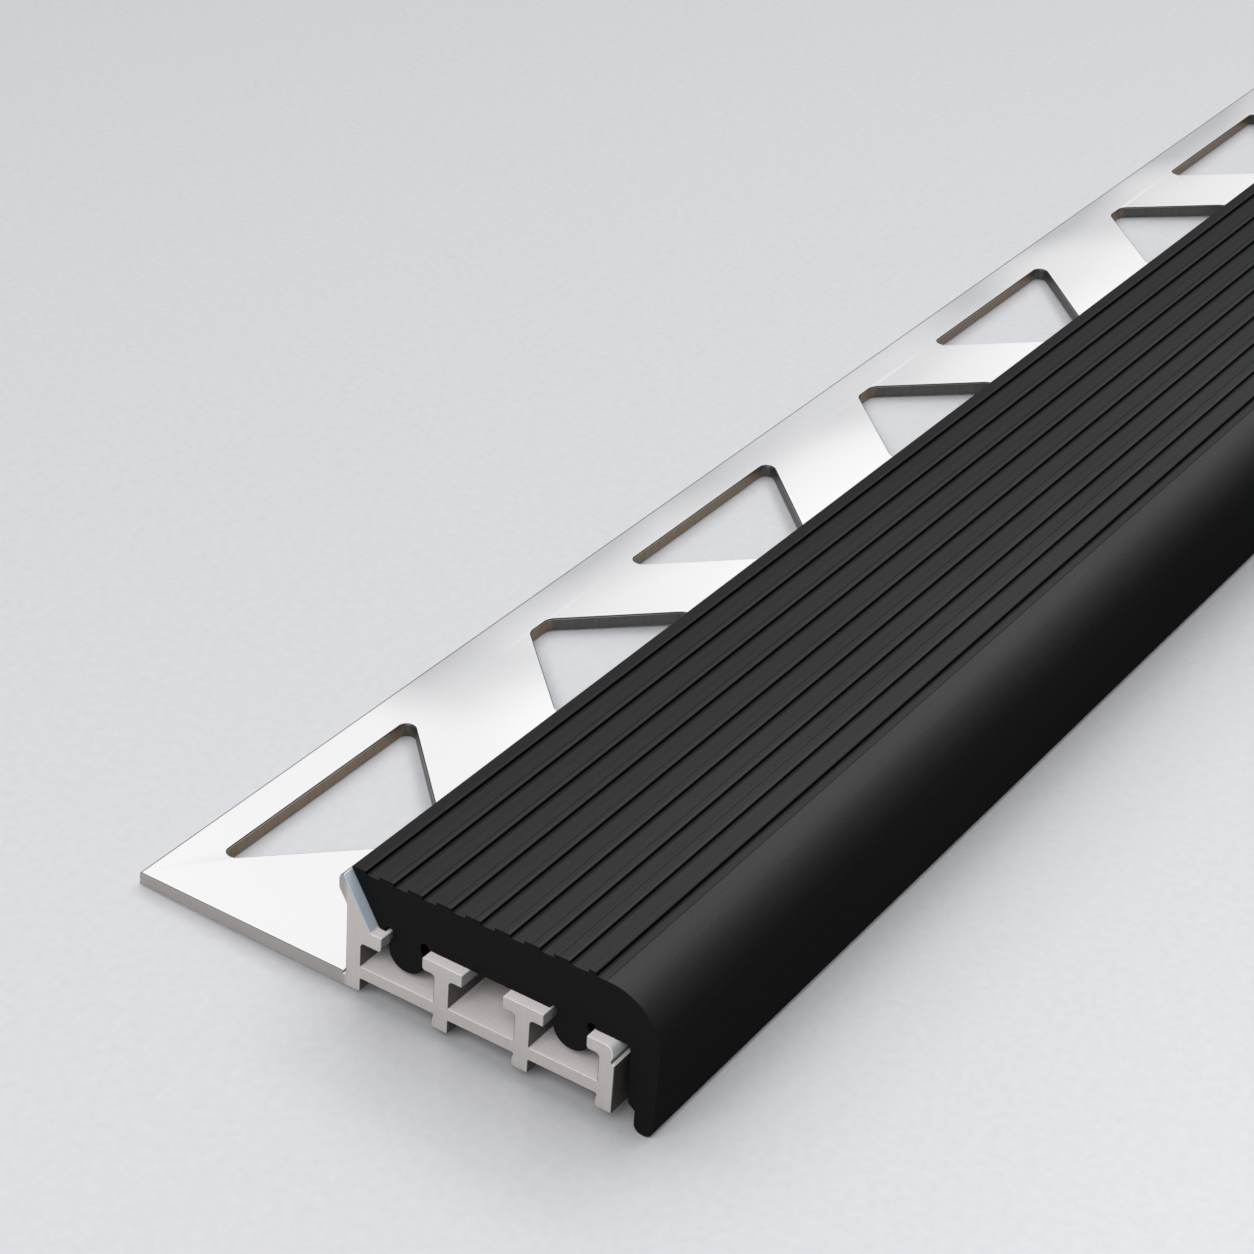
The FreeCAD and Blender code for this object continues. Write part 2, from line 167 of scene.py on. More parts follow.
LIP_TOP, LIP_FALL, LIP_ROUND, LIP_FLARE, LIP_EDGE = 9.95, 0.2, 0.6, -0.77, -0.35
FLARE_BOTTOM, FLARE_ROUND, LIP_FACE_TOP = 8.65, 0.8, 7.35


def foot(back, front):
    """The neck and the flared back of a foot, and its straight front."""
    return [
        (back, PLATE_UNDER, INSIDE), (back - FOOT_FLARE, FOOT_NECK, INSIDE),
        (back - FOOT_FLARE, 0, FOOT_ROUND), (front, 0, BREAK),
    ]


def tee(centre):
    """A tee head, from the channel in front of its web to the channel behind it."""
    front, back = centre + WEB / 2, centre - WEB / 2
    tip, heel = centre + HEAD_HALF, centre - HEAD_HALF
    return [
        (front, PLATE_TOP, INSIDE), (front, HEAD_UNDER, HEAD_ROUND),
        (tip, HEAD_UNDER, BREAK), (tip, SEAT, BREAK), (heel, SEAT, HEEL_ROUND),
        (heel, HEAD_UNDER, HEAD_ROUND), (back, HEAD_UNDER, HEAD_ROUND),
        (back, PLATE_TOP, INSIDE),
    ]


def tee_foot(centre):
    """The foot under a tee's web, and the corner where the plate goes on."""
    front = centre + WEB / 2
    return foot(centre - WEB / 2, front) + [(front, PLATE_UNDER, INSIDE)]


hook = [
    (FRONT_FACE, LEDGE, BREAK), (LEDGE_BACK, LEDGE, BREAK), (LEDGE_BACK, HEAD_UNDER, BREAK),
    (SHOULDER, SEAT, SHOULDER_ROUND), (HOOK_TIP, SEAT, BREAK),
    (HOOK_TIP, HEAD_UNDER, HEAD_ROUND), (FRONT_WEB, HEAD_UNDER, HEAD_ROUND),
    (FRONT_WEB, PLATE_TOP, INSIDE),
]
tongue_and_lip = [
    (WEB, PLATE_TOP, INSIDE), (WEB, TONGUE_UNDER, HEAD_ROUND),
    (TONGUE_TIP, TONGUE_UNDER, HEAD_ROUND), (TONGUE_TIP, SHELF, BREAK),
    (SHELF_START, SHELF, HEAD_ROUND), (LIP_EDGE, LIP_TOP, BREAK),
    (LIP_FLARE, LIP_TOP - LIP_FALL, LIP_ROUND), (LIP_FLARE, FLARE_BOTTOM, FLARE_ROUND),
    (0, LIP_FACE_TOP, HEAD_ROUND),
]
leg_top = [
    (0, LEG_THICKNESS - LEG_RELIEF, BREAK), (-LEG_RELIEF, LEG_THICKNESS - LEG_RELIEF, BREAK),
    (-LEG_RELIEF, LEG_THICKNESS, BREAK), (-LEG_WIDTH, LEG_THICKNESS, LEG_ROUND),
]
carrier_outline = rounded(
    [(-LEG_WIDTH, 0, BREAK), (WEB, 0, FOOT_ROUND), (WEB, PLATE_UNDER, INSIDE)]
    + tee_foot(BACK_TEE) + tee_foot(FRONT_TEE) + foot(FRONT_WEB, FRONT_FACE)
    + hook + tee(FRONT_TEE) + tee(BACK_TEE) + tongue_and_lip + leg_top
)
print("carrier outline:", len(carrier_outline), "points")

# %% [markdown]
# ## The tread's section
#
# The rubber is one outline too. Its top is nine ribs on a slope that rises a little
# towards the nose. The edges that face back are rounder than those that face the nose, as
# if they were worn, and fine notches run along the ribs where the die was scratched. The
# nose is one large round that runs into a thin flap. Underneath, two round keys hang on
# necks, and a round hollow beside each neck lets the carrier's heads in. A key is more
# than half a circle, so its arcs are worked out, not cornered.

# %% Draw the tread's outline
RIB_EDGE, GROOVE_EDGE, WORN_EDGE = 0.06, 0.03, 0.13
TREAD_BACK, TREAD_END, TREAD_LOW, TREAD_RISE = -0.35, 21.04, 10.2, 0.6
BACK_EDGE, BACK_ROUND, SHELF_GAP, SHELF_ROUND = -0.4007, 0.11, 0.1, 0.4
FIRST_GROOVE, GROOVE_WIDTH, GROOVE_DROP, LAST_GROOVE = 0.97, 1.18, 0.28, (18.82, 20.38)
LINE_HALF, LINE_DEPTH, LINE_ROUND, LINE_BOTTOM = 0.06, 0.03, 0.05, 0.02
LINES, LAND_LINE, LAND_DROP = (3.0, 5.61, 8.05, 10.61, 12.99, 15.58, 17.86), 21.88, 0.33
NOSE_FRONT, FLAP_FRONT, FLAP_BACK = 26.72, 26.57, 24.97
NOSE_DROP, NOSE_ROUND, TIP_ROUND = 1.48, 4.5, 0.75
FLAP_TOP, POCKET_BOTTOM, POCKET_FRONT = 0.35, (24.39, 0.8), 24.24
POCKET_ROUND, POCKET_END_ROUND = 0.15, 0.5
KEY_RADIUS, NECK_HALF, KEY_STEPS = 1.6, 1.3, 40
RELIEF_RADIUS, RELIEF_OVERLAP, RELIEF_STEPS = 0.36, 0.05, 16
KEYS = ((4.8, 4.51), (19.335, 4.71))


def tread_height(depth):
    """Height of the rib tops: a straight rise from the lip to the land."""
    return TREAD_LOW + (depth - TREAD_BACK) * TREAD_RISE / (TREAD_END - TREAD_BACK)


def groove(back, front):
    """Four corners of one groove, whose floor follows the tread."""
    return [
        (back, tread_height(back), WORN_EDGE),
        (back, tread_height(back) - GROOVE_DROP, WORN_EDGE),
        (front, tread_height(front) - GROOVE_DROP, GROOVE_EDGE),
        (front, tread_height(front), RIB_EDGE),
    ]


def die_line(depth, drop=0.0):
    """Three corners of a fine notch, as a scratch in the die draws it."""
    level = tread_height(depth) - drop
    return [
        (depth - LINE_HALF, level, LINE_ROUND), (depth, level - LINE_DEPTH, LINE_BOTTOM),
        (depth + LINE_HALF, level, LINE_ROUND),
    ]


def key(centre, back_end=180.0):
    """One key from front to back: a hollow, the neck, the bulb, the neck and a hollow."""
    across, height = centre
    reach = NECK_HALF + RELIEF_RADIUS - RELIEF_OVERLAP
    bite = math.degrees(math.asin(
        math.sqrt(RELIEF_RADIUS**2 - (RELIEF_RADIUS - RELIEF_OVERLAP) ** 2) / RELIEF_RADIUS
    ))
    shoulder = math.degrees(math.acos(NECK_HALF / KEY_RADIUS))
    return np.vstack([
        arc((across + reach, SEAT), RELIEF_RADIUS, 0, 180 + bite, RELIEF_STEPS),
        arc(centre, KEY_RADIUS, shoulder, -180 - shoulder, KEY_STEPS),
        arc((across - reach, SEAT), RELIEF_RADIUS, -bite, back_end, RELIEF_STEPS),
    ])


RIB_PITCH = (LAST_GROOVE[0] - FIRST_GROOVE) / len(LINES)
backs = [FIRST_GROOVE + RIB_PITCH * n for n in range(len(LINES))]
grooves = [(back, back + GROOVE_WIDTH) for back in backs] + [LAST_GROOVE]
ribbed = groove(*grooves[0])
for line, (back, front) in zip(LINES, grooves[1:]):
    ribbed += die_line(line) + groove(back, front)
heel = [
    (KEYS[0][0], SHELF, 0), (SHELF_START + SHELF_GAP, SHELF, SHELF_ROUND),
    (BACK_EDGE, tread_height(BACK_EDGE), BACK_ROUND),
]
land = [
    (TREAD_END, tread_height(TREAD_END), WORN_EDGE),
    (TREAD_END, tread_height(TREAD_END) - LAND_DROP, WORN_EDGE),
] + die_line(LAND_LINE, LAND_DROP)
nose = [
    (NOSE_FRONT, tread_height(NOSE_FRONT) - LAND_DROP, NOSE_ROUND),
    (FLAP_FRONT, -NOSE_DROP, TIP_ROUND), (FLAP_BACK, -NOSE_DROP, TIP_ROUND),
    (FLAP_BACK, FLAP_TOP, POCKET_ROUND), (*POCKET_BOTTOM, POCKET_ROUND),
    (POCKET_FRONT, SEAT, POCKET_END_ROUND), (KEYS[1][0], SEAT, 0),
]
tread_top = rounded(heel + ribbed + land + nose, closed=False)[1:-1]
shelf_angle = 180 + math.degrees(math.asin((SEAT - SHELF) / RELIEF_RADIUS))
tread_outline = np.vstack([tread_top, key(KEYS[1]), key(KEYS[0], shelf_angle)])
print("tread outline:", len(tread_outline), "points,", len(grooves) + 1, "ribs")

# %% [markdown]
# ## From outline to solid
#
# The outline is carried along the length as a grid: one axis goes round the section, the
# other along the stock. At each end a few extra rings shrink the outline by a hair, which
# makes the small broken edge that a saw and a wipe with a file leave. The end face itself
# is filled with triangles, because the outline is far from convex.

# %% Helpers that shrink an outline
def shrunk(loop, distance):
    """Each point moved into the material along the bisector of its two sides' normals.

    With m and n the unit normals, the move is distance times 2 (m + n) over (m + n)^2.
    """
    ahead = np.roll(loop, -1, -2) - loop
    ahead /= np.linalg.norm(ahead, axis=-1, keepdims=True)
    area = (loop[..., 0] * np.roll(loop[..., 1], -1, -1)).sum(-1)
    area = area - (loop[..., 1] * np.roll(loop[..., 0], -1, -1)).sum(-1)
    side = np.sign(area)[..., None, None]
    normal = side * np.stack([ahead[..., 1], -ahead[..., 0]], -1)
    both = normal + np.roll(normal, 1, -2)
    return loop - distance * 2 * both / (both**2).sum(-1, keepdims=True)


def broken_edge(size, steps=3):
    """A quarter round as pairs: how far the outline shrinks, and how far short it ends."""
    t = np.linspace(0, np.pi / 2, steps + 1)
    return np.column_stack([size * (1 - np.cos(t)), size * (1 - np.sin(t))])


inner = shrunk(square, 0.5)
print("shrunk by 0.5, the square goes from", inner.min(0).round(2), "to", inner.max(0).round(2))

# %% Helpers that carry an outline and fill its ends
HALF_LENGTH = 500.0
SHIFT_BACK = (NOSE_FRONT - LEG_WIDTH) / 2
FILL_INSIDE, FILL_TOLERANCE = 1, 1e-6


def grid_faces(rings, around, start=0):
    """Four corners of every cell between neighbouring rings of a closed grid."""
    ring, item = np.meshgrid(np.arange(rings - 1), np.arange(around), indexing="ij")
    after = (item + 1) % around
    low, high = start + ring * around, start + (ring + 1) * around
    return np.stack([low + item, low + after, high + after, high + item], -1)


def filled(loops):
    """Triangles that fill the first loop of points and leave the other loops open."""
    points = np.vstack(loops)
    owner = np.repeat(np.arange(len(loops)), [len(loop) for loop in loops])
    starts = np.cumsum([0] + [len(loop) for loop in loops])
    edges = np.vstack([
        np.column_stack([np.arange(n), np.roll(np.arange(n), -1)]) + start
        for n, start in zip([len(loop) for loop in loops], starts)
    ])
    flat = [Vector(point) for point in points]
    result = delaunay_2d_cdt(flat, edges.tolist(), [], FILL_INSIDE, FILL_TOLERANCE)
    triangles = np.array(result[2])
    mine = owner[triangles]
    in_hole = (mine[:, 0] == mine[:, 1]) & (mine[:, 1] == mine[:, 2]) & (mine[:, 0] > 0)
    return points, triangles[~in_hole]


def in_row(x, depth, height):
    """Section places in millimetres as points of the row frame in metres."""
    x, depth, height = np.broadcast_arrays(x, depth, height)
    return MM * np.stack([x, SHIFT_BACK - depth, height + NOSE_DROP], -1).reshape(-1, 3)


def extrusion(loop, reach, edge):
    """The rings of an outline carried along X, with a broken edge at both ends."""
    steps = broken_edge(edge)
    shrink = np.concatenate([steps[::-1, 0], steps[:, 0]])
    x = np.concatenate([steps[::-1, 1] - reach, reach - steps[:, 1]])
    rings = np.stack([shrunk(loop, distance) for distance in shrink])
    return in_row(x[:, None], rings[..., 0], rings[..., 1]), len(x), rings[0]


print("the section is set back by", round(SHIFT_BACK, 2), "mm, so that it lies over the origin")

# %% [markdown]
# ## Meshes that close
#
# Parts of a surface that were worked out one by one are joined by merging the points they
# share. A closed mesh lets Blender turn every face outwards. Flat faces keep a flat shade
# beside a round through weighted normals: the larger face decides.

# %% Helper that turns parts into one closed piece
MERGE_DISTANCE = 1e-6
SHARP_ANGLE = math.radians(34)


def closed_piece(name, parts, looks):
    """A mesh from parts, each with points, faces and the number of its look."""
    points, faces, look = [], [], []
    for part_points, part_faces, part_look in parts:
        start = sum(len(p) for p in points)
        points.append(part_points)
        faces += (np.array(part_faces) + start).tolist()
        look += [part_look] * len(part_faces)
    mesh = bpy.data.meshes.new(name)
    mesh.from_pydata(np.vstack(points).tolist(), [], faces)
    mesh.polygons.foreach_set("material_index", look)
    shape = bmesh.new()
    shape.from_mesh(mesh)
    bmesh.ops.remove_doubles(shape, verts=shape.verts, dist=MERGE_DISTANCE)
    bmesh.ops.recalc_face_normals(shape, faces=shape.faces)
    open_edges = sum(len(edge.link_faces) != 2 for edge in shape.edges)
    shape.to_mesh(mesh)
    shape.free()
    for finish in looks:
        mesh.materials.append(finish)
    mesh.polygons.foreach_set("use_smooth", [True] * len(mesh.polygons))
    mesh.set_sharp_from_angle(angle=SHARP_ANGLE)
    piece = bpy.data.objects.new(name, mesh)
    bpy.context.scene.collection.objects.link(piece)
    weighted = piece.modifiers.new("flat faces stay flat", "WEIGHTED_NORMAL")
    weighted.keep_sharp = True
    print(name, len(mesh.polygons), "faces,", open_edges, "open edges")
    return piece

# %% [markdown]
# ## The keying holes
#
# The leg is punched with a row of trapezoids that point in and out by turns, so that the
# adhesive comes up through them and grips. All the holes are worked out in one array: a
# hole's outline, shifted along the row, with rings for the edge that the punch rolls in
# at the top, for the wall, and for the break at the bottom.

# %% Work out the holes
OUTER_EDGE, INNER_EDGE = -16.5, -5.15
LONG_HALF, SHORT_HALF = 12.7, 1.35
LONG_ROUND, SHORT_ROUND, INNER_ROUND = 0.75, 1.4, 1.8
FIRST_HOLE, PAIR_OFFSET, PAIR_PITCH, PAIRS = 17.5, 31.0, 57.0, 17
PUNCH_ROLL, PUNCH_BREAK = 0.12, 0.05


def trapezoid(outer_half, inner_half, outer_round):
    """A hole's outline about its middle, with its two pairs of rounds."""
    return rounded([
        (-inner_half, INNER_EDGE, INNER_ROUND), (inner_half, INNER_EDGE, INNER_ROUND),
        (outer_half, OUTER_EDGE, outer_round), (-outer_half, OUTER_EDGE, outer_round),
    ])


def hole_rings():
    """All the holes as one array: hole, ring from top to bottom, point, coordinate.

    A ring's outline grows outwards by the roll near the top face and near the bottom.
    """
    wide_outside = trapezoid(LONG_HALF, SHORT_HALF, LONG_ROUND)
    pair = np.stack([wide_outside, trapezoid(SHORT_HALF, LONG_HALF, SHORT_ROUND)])
    pair[1, :, 0] += PAIR_OFFSET
    loops = np.repeat(pair[None], PAIRS, 0)
    loops[..., 0] += (FIRST_HOLE - HALF_LENGTH + PAIR_PITCH * np.arange(PAIRS))[:, None, None]
    loops = loops.reshape(-1, *pair.shape[1:])
    roll, under = broken_edge(PUNCH_ROLL, 4)[::-1], broken_edge(PUNCH_BREAK, 2)
    grow = np.concatenate([roll[:, 0], under[:, 0]])
    height = np.concatenate([LEG_THICKNESS - roll[:, 1], under[:, 1]])
    return np.stack([shrunk(loops, -distance) for distance in grow], 1), height, len(roll)


holes, hole_heights, roll_rings = hole_rings()
print(len(holes), "holes of", holes.shape[1], "rings and", holes.shape[2], "points")

# %% [markdown]
# ## Shader groups
#
# Four effects serve more than one material, so each is a node group that gives only a
# mask from 0 to 1. Drawn lines are the long fine streaks that a die leaves along a
# profile. Grain is the fine even speckle of a matt surface. Handling and sheen is a broad,
# faint cloudiness: on the rubber it stands for wiping and touching, and on the leg it
# shapes the painted shade in the sheen. Facing up tells level faces from tilted and upright
# ones by their normal.

# %% Helpers for node trees
def fill(tree, node, inputs):
    """A node's inputs, each linked to another node's output or set to a value."""
    for place, given in inputs.items():
        if isinstance(given, bpy.types.NodeSocket):
            tree.links.new(given, node.inputs[place])
        else:
            node.inputs[place].default_value = given


def add(tree, kind, inputs, **settings):
    """A new node with its settings and its inputs."""
    node = tree.nodes.new(kind)
    for name, setting in settings.items():
        setattr(node, name, setting)
    fill(tree, node, inputs)
    return node


def calc(tree, operation, *terms, **settings):
    """A number worked out by one math node."""
    inputs = dict(enumerate(terms))
    return add(tree, "ShaderNodeMath", inputs, operation=operation, **settings).outputs[0]


def product(tree, first, *factors):
    """Numbers multiplied, one math node at a time."""
    for factor in factors:
        first = calc(tree, "MULTIPLY", first, factor)
    return first


def ramp(tree, value, start, end, low=0.0, high=1.0, soft=False):
    """A number that goes from low to high while a value goes from start to end."""
    ends = {0: value, 1: start, 2: end, 3: low, 4: high}
    kind = "SMOOTHSTEP" if soft else "LINEAR"
    return add(tree, "ShaderNodeMapRange", ends, interpolation_type=kind).outputs[0]


def axes_of(tree, vector):
    """The X, Y and Z of a vector."""
    return add(tree, "ShaderNodeSeparateXYZ", {0: vector}).outputs


def stretched_noise(tree, place, along, across, detail):
    """Noise with its own scale along X and across it, in features per metre."""
    scale = add(tree, "ShaderNodeCombineXYZ", {0: along, 1: across, 2: across}).outputs[0]
    moved = add(tree, "ShaderNodeVectorMath", {0: place, 1: scale}, operation="MULTIPLY").outputs[0]
    noise = add(tree, "ShaderNodeTexNoise", {"Vector": moved, "Scale": 1.0, "Detail": detail})
    return noise.outputs["Fac"]


print("helpers for nodes: add, calc, product, ramp, axes_of and stretched_noise")

# %% Make the four groups
def mask_group(name, inputs, build):
    """A group with a vector, number inputs with their defaults, and one mask output."""
    group = bpy.data.node_groups.new(name, "ShaderNodeTree")
    group.interface.new_socket("Vector", in_out="INPUT", socket_type="NodeSocketVector")
    for label, default in inputs.items():
        socket = group.interface.new_socket(label, in_out="INPUT", socket_type="NodeSocketFloat")
        socket.default_value = default
    group.interface.new_socket("Mask", in_out="OUTPUT", socket_type="NodeSocketFloat")
    given = group.nodes.new("NodeGroupInput")
    out = group.nodes.new("NodeGroupOutput")
    group.links.new(build(group, given.outputs), out.inputs["Mask"])
    return group


def noise_mask(along, across, detail, low, high):
    """What builds a group of stretched noise, spread so that low is 0 and high is 1."""
    def build(tree, given):
        noise = stretched_noise(tree, given["Vector"], given[along], given[across], detail)
        return ramp(tree, noise, low, high)
    return build


def height_mask(tree, given):
    """The Z of a direction, from a low to a high limit, with soft ends."""
    upward = axes_of(tree, given["Vector"])["Z"]
    return ramp(tree, upward, given["Low"], given["High"], soft=True)


drawn_lines = mask_group(
    "drawn lines", {"Along": 25.0, "Across": 6000.0}, noise_mask("Along", "Across", 3.0, 0.3, 0.7)
)
grain = mask_group(
    "grain", {"Per metre": 9000.0}, noise_mask("Per metre", "Per metre", 2.0, 0.3, 0.7)
)
handling_and_sheen = mask_group(
    "handling_and_sheen", {"Along": 20.0, "Across": 60.0}, noise_mask("Along", "Across", 1.0, 0.35, 0.65)
)
facing_up = mask_group("facing up", {"Low": 0.0, "High": 1.0}, height_mask)
print("groups:", [group.name for group in (drawn_lines, grain, handling_and_sheen, facing_up)])

# %% [markdown]
# ## Writing a material
#
# A material starts with its tree and with the place of a point on the piece, in metres.
# Then come masks and colours, made with the helpers below. It ends with the shader's
# sockets, each given an output or a plain number.

# %% Helpers for materials
UPRIGHT, SIDEWAYS = (0, math.radians(90), 0), (0, 0, math.radians(90))


def new_material(name):
    """A material, its node tree, and where a point of the piece lies."""
    material = bpy.data.materials.new(name)
    material.use_nodes = True
    tree = material.node_tree
    return material, tree, tree.nodes.new("ShaderNodeTexCoord").outputs["Object"]


def finished(material, sockets):
    """The material, with the named sockets of its shader linked or set."""
    fill(material.node_tree, material.node_tree.nodes["Principled BSDF"], sockets)
    return material


def facing_of(tree):
    """Which way a face points."""
    return tree.nodes.new("ShaderNodeNewGeometry").outputs["Normal"]


def turned(tree, place, rotation):
    """A place turned about the origin, so that drawn lines run another way."""
    return add(tree, "ShaderNodeMapping", {"Vector": place, "Rotation": rotation}).outputs[0]


def use(tree, group, vector, **values):
    """A group in a material, with its own values. An underscore stands for a space."""
    inputs = {label.replace("_", " "): setting for label, setting in values.items()}
    node = add(tree, "ShaderNodeGroup", {"Vector": vector, **inputs}, node_tree=group)
    return node.outputs["Mask"]


def blend(tree, mask, low, high):
    """A number or a colour that goes from low to high with a mask."""
    if isinstance(low, float):
        return ramp(tree, mask, 0.0, 1.0, low, high)
    low, high = [(*end, 1.0) if isinstance(end, tuple) else end for end in (low, high)]
    return add(tree, "ShaderNodeMix", {0: mask, 6: low, 7: high}, data_type="RGBA").outputs[2]


def between(tree, mask, low, high):
    """A number between two that may vary themselves."""
    return add(tree, "ShaderNodeMix", {0: mask, 2: low, 3: high}).outputs[0]


def scaled(tree, colour, factor):
    """A colour made lighter or darker by a factor."""
    inputs = {0: colour, "Scale": factor}
    return add(tree, "ShaderNodeVectorMath", inputs, operation="SCALE").outputs[0]


def bump(tree, height, depth_mm):
    """A bump whose full mask stands for a real depth in millimetres."""
    inputs = {"Height": height, "Distance": depth_mm * MM, "Strength": 1.0}
    return add(tree, "ShaderNodeBump", inputs).outputs["Normal"]


print("lines are turned by", UPRIGHT, "or", SIDEWAYS)

# %% [markdown]
# ## Aluminium
#
# The carrier is bare aluminium with four looks. The drawn faces are bright and satin, with
# fine lines along their length. Metal is almost all reflection, so its life is in the
# roughness and in a very shallow bump. The leg's sheen carries painted shade: darker slanted
# bands, one for each pair of holes, and a darker outer rim, both fading out near the cut
# end, where the colour is a little darker instead. The tops of rounded edges are painted
# near black, a painted dark reflection.
#
# The faces under the tread mirror little, and their colour is painted light and shade by
# the way a face points. The channel floors are pale, the upright walls below the heads dark
# brown as painted shade and those above grey, and the slope behind the lip is a cold blue,
# a painted reflection. The round shoulder of the front hook is a bright painted highlight.
#
# The sawn end is duller and warmer. The saw's lines stand upright on the section and lie
# level on the leg. The walls of the punched holes are sheared metal, rough; the walls that
# face the nose side are brownish, and the others are painted near black as painted shade.

# %% Make the two looks of the drawn faces
BAND_FADE_END = (-0.473, -0.464)
LEG_RIM, RIM_CURVE = (0.010, 0.0229), 1.6
BAND_START, BAND_SLANT = -0.4504, 0.8
LIP_SLOPE, HEAD_LEVEL, HOOK_SHOULDER = (0.0002, 0.0012), (0.0061, 0.0064), (-0.0194, -0.0197)


def painted_shade_bands(tree, axes):
    """Painted shade: darker slanted bands, each with a steep rise and a long fall.

    A sawtooth goes from 0 to 1 over each pair of holes, along X plus the slant times Y.
    """
    pitch = PAIR_PITCH * MM
    step = calc(tree, "MULTIPLY_ADD", axes["Y"], BAND_SLANT / pitch, -BAND_START / pitch)
    step = calc(tree, "FRACT", calc(tree, "MULTIPLY_ADD", axes["X"], 1 / pitch, step))
    rise = ramp(tree, step, 0.0, 0.18, soft=True)
    fall = ramp(tree, step, 0.1, 0.6, 0.22, 0.0, soft=True)
    return product(tree, rise, fall)


def drawn_aluminium():
    material, tree, place = new_material("aluminium drawn")
    axes, facing = axes_of(tree, place), facing_of(tree)
    lines = use(tree, drawn_lines, place, Along=18.0, Across=5200.0)
    clouds = use(tree, handling_and_sheen, place, Along=40.0, Across=90.0)
    level = use(tree, facing_up, facing, Low=0.96, High=0.996)
    painted_dark_edges = use(tree, facing_up, facing, Low=0.15, High=0.45)
    away = ramp(tree, axes["X"], *BAND_FADE_END, soft=True)
    # Painted shade: a darker outer rim and slanted bands dim the leg's sheen, fading out near the
    # cut end.
    rim = calc(tree, "POWER", ramp(tree, axes["Y"], *LEG_RIM), RIM_CURVE)
    rim = product(tree, rim, away, blend(tree, clouds, 0.5, 1.1))
    band = product(tree, painted_shade_bands(tree, axes), away)
    painted_leg_shade = calc(tree, "ADD", rim, band, use_clamp=True)
    base_satin = blend(tree, away, (0.885, 0.88, 0.875), (0.96, 0.955, 0.95))
    satin = blend(tree, painted_leg_shade, base_satin, (0.55, 0.55, 0.56))
    # Painted dark reflection: faces that lean between upright and level, the tops of rounded edges,
    # are near black.
    edge = blend(tree, painted_dark_edges, satin, (0.06, 0.06, 0.063))
    return finished(material, {
        "Base Color": blend(tree, level, edge, satin),
        "Roughness": blend(tree, lines, 0.285, 0.315),
        "Metallic": 1.0,
        "Normal": bump(tree, lines, 0.0005),
    })


def inner_aluminium():
    material, tree, place = new_material("aluminium inside")
    axes, facing = axes_of(tree, place), facing_of(tree)
    lines = use(tree, drawn_lines, place, Along=30.0, Across=4500.0)
    steep = use(tree, facing_up, facing, Low=0.05, High=0.4)
    flat = use(tree, facing_up, facing, Low=0.5, High=0.95)
    # Painted light by the way a face points: pale flats, dark brown walls under the heads as
    # painted shade, grey walls above them, a painted blue reflection on the lip's slope and a
    # painted highlight on the hook's shoulder.
    lip = ramp(tree, axes["Y"], *LIP_SLOPE)
    upper = ramp(tree, axes["Z"], *HEAD_LEVEL)
    hook = product(tree, ramp(tree, axes["Y"], *HOOK_SHOULDER), upper)
    sloping = blend(tree, lip, (0.90, 0.91, 0.93), (0.78, 0.90, 1.0))
    upright = blend(tree, upper, (0.075, 0.064, 0.057), (0.34, 0.35, 0.36))
    upright = blend(tree, hook, upright, (0.88, 0.90, 0.93))
    shaded = blend(tree, steep, upright, sloping)
    painted_light_and_shade = blend(tree, flat, shaded, (1.0, 0.91, 0.905))
    return finished(material, {
        "Base Color": scaled(tree, painted_light_and_shade, blend(tree, lines, 0.94, 1.0)),
        "Roughness": blend(tree, lines, 0.3, 0.45),
        "Metallic": blend(tree, flat, 0.25, 0.0),
    })


aluminium_looks = [drawn_aluminium(), inner_aluminium()]
print("drawn looks:", [look.name for look in aluminium_looks])

# %% Make the two looks of the cut faces
LEG_SIDE = (0.0033, 0.0037)
WALLS_TOWARDS_NOSE = (-0.7, -1.0)


def sawn_aluminium():
    material, tree, place = new_material("aluminium sawn")
    upright = use(tree, drawn_lines, turned(tree, place, UPRIGHT), Along=250.0, Across=9000.0)
    level = use(tree, drawn_lines, turned(tree, place, SIDEWAYS), Along=250.0, Across=9000.0)
    speckle = use(tree, grain, place, Per_metre=6000.0)
    leg = ramp(tree, axes_of(tree, place)["Y"], *LEG_SIDE)
    lines = between(tree, leg, upright, level)
    section = blend(tree, lines, (0.675, 0.630, 0.590), (0.725, 0.680, 0.640))
    leg_end = blend(tree, lines, (0.46, 0.425, 0.395), (0.53, 0.495, 0.465))
    return finished(material, {
        "Base Color": blend(tree, leg, section, leg_end),
        "Roughness": blend(tree, speckle, 0.42, 0.55),
        "Metallic": 0.8,
        "Normal": bump(tree, lines, 0.0015),
    })


def punched_aluminium():
    material, tree, place = new_material("aluminium punched")
    tears = use(tree, drawn_lines, turned(tree, place, UPRIGHT), Along=300.0, Across=3500.0)
    # Painted shade: walls that face the nose side keep a brownish colour, the others are painted
    # near black.
    square = ramp(tree, axes_of(tree, facing_of(tree))["Y"], *WALLS_TOWARDS_NOSE)
    walls = blend(tree, square, (0.12, 0.12, 0.11), (0.285, 0.212, 0.145))
    return finished(material, {
        "Base Color": scaled(tree, walls, blend(tree, tears, 0.8, 1.1)),
        "Roughness": blend(tree, tears, 0.38, 0.5),
        "Metallic": 0.8,
        "Normal": bump(tree, tears, 0.004),
    })


aluminium_looks += [sawn_aluminium(), punched_aluminium()]
print("looks of the aluminium:", [look.name for look in aluminium_looks])

